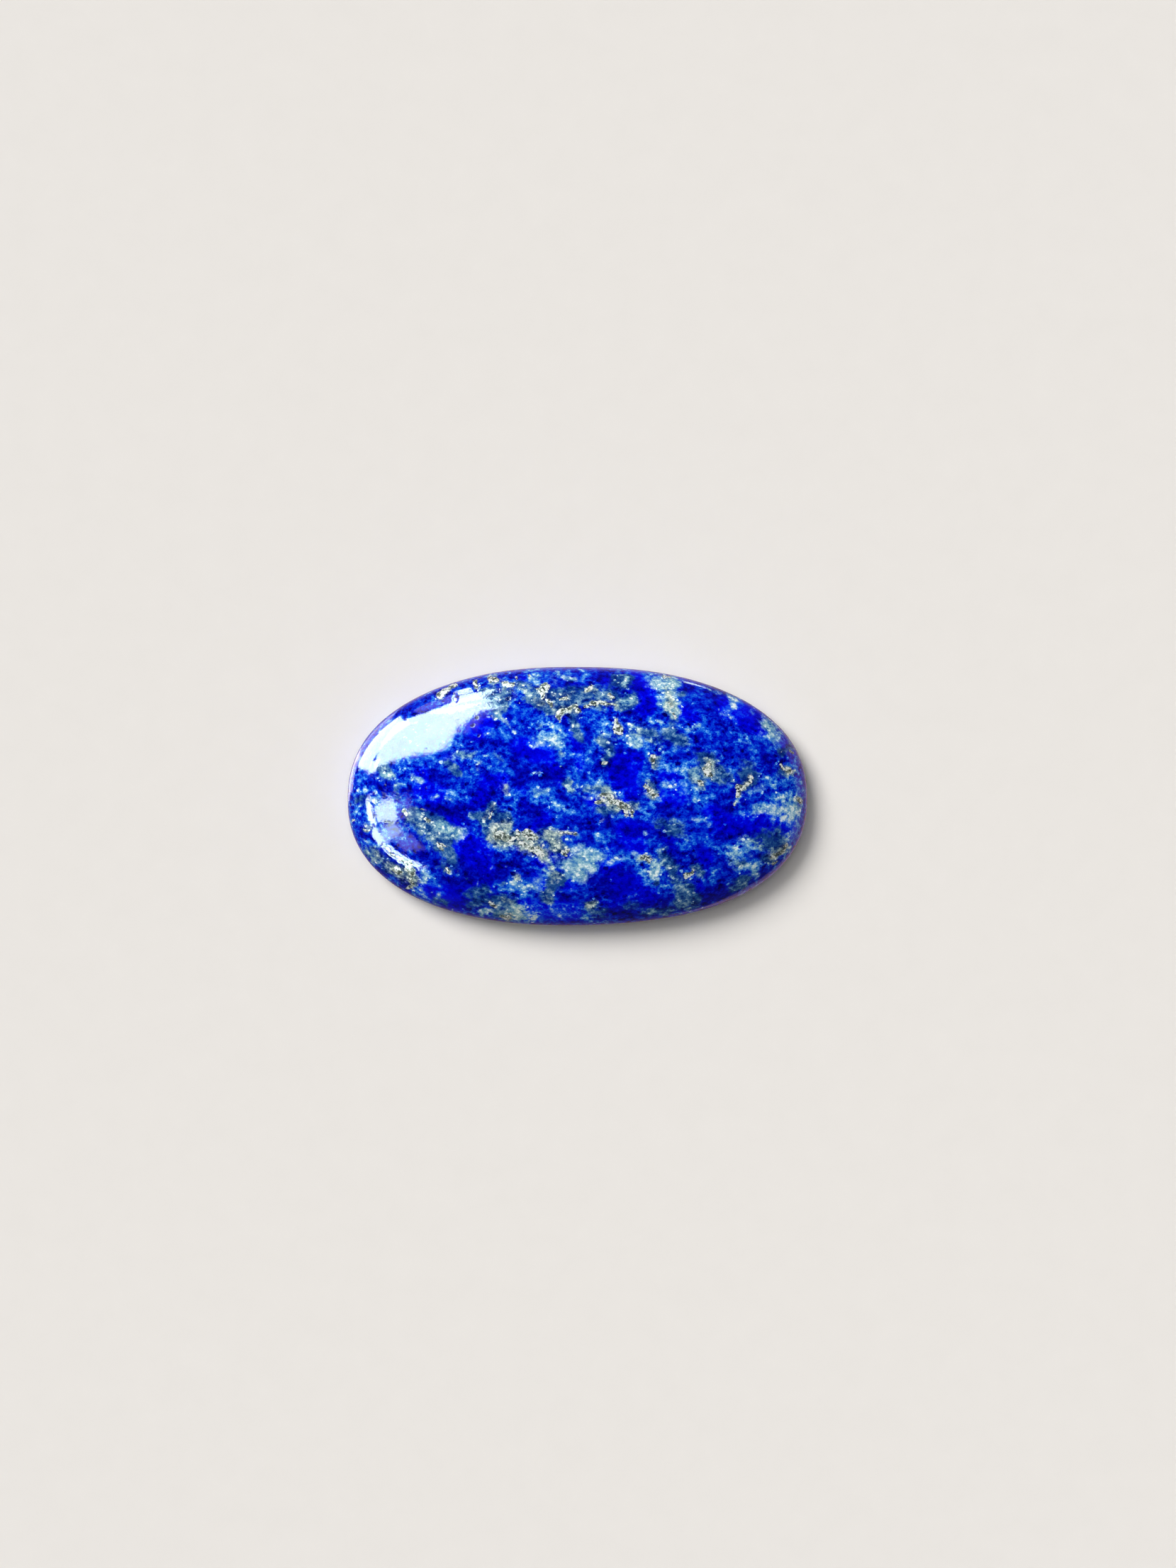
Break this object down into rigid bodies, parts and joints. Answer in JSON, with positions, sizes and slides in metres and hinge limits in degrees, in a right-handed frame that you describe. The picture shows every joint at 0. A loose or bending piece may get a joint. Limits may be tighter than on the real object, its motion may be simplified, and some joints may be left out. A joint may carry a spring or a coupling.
{
  "type": "polished lapis lazuli cabochon",
  "caption": "Long oval cabochon of polished deep blue stone with a low domed face, an upright girdle and a flat bevelled back that it rests on.",
  "frame": {"origin": "middle of the flat back, which is the face that the stone rests on", "axes": "+X along the long diameter, +Y along the short diameter, +Z out of the back through the crown of the dome"},
  "size_m": [0.0284, 0.016, 0.005],
  "materials": {
    "lapis_lazuli": "polished"
  },
  "bodies": {
    "root": {"stone": "lapis_lazuli"}
  },
  "joints": []
}
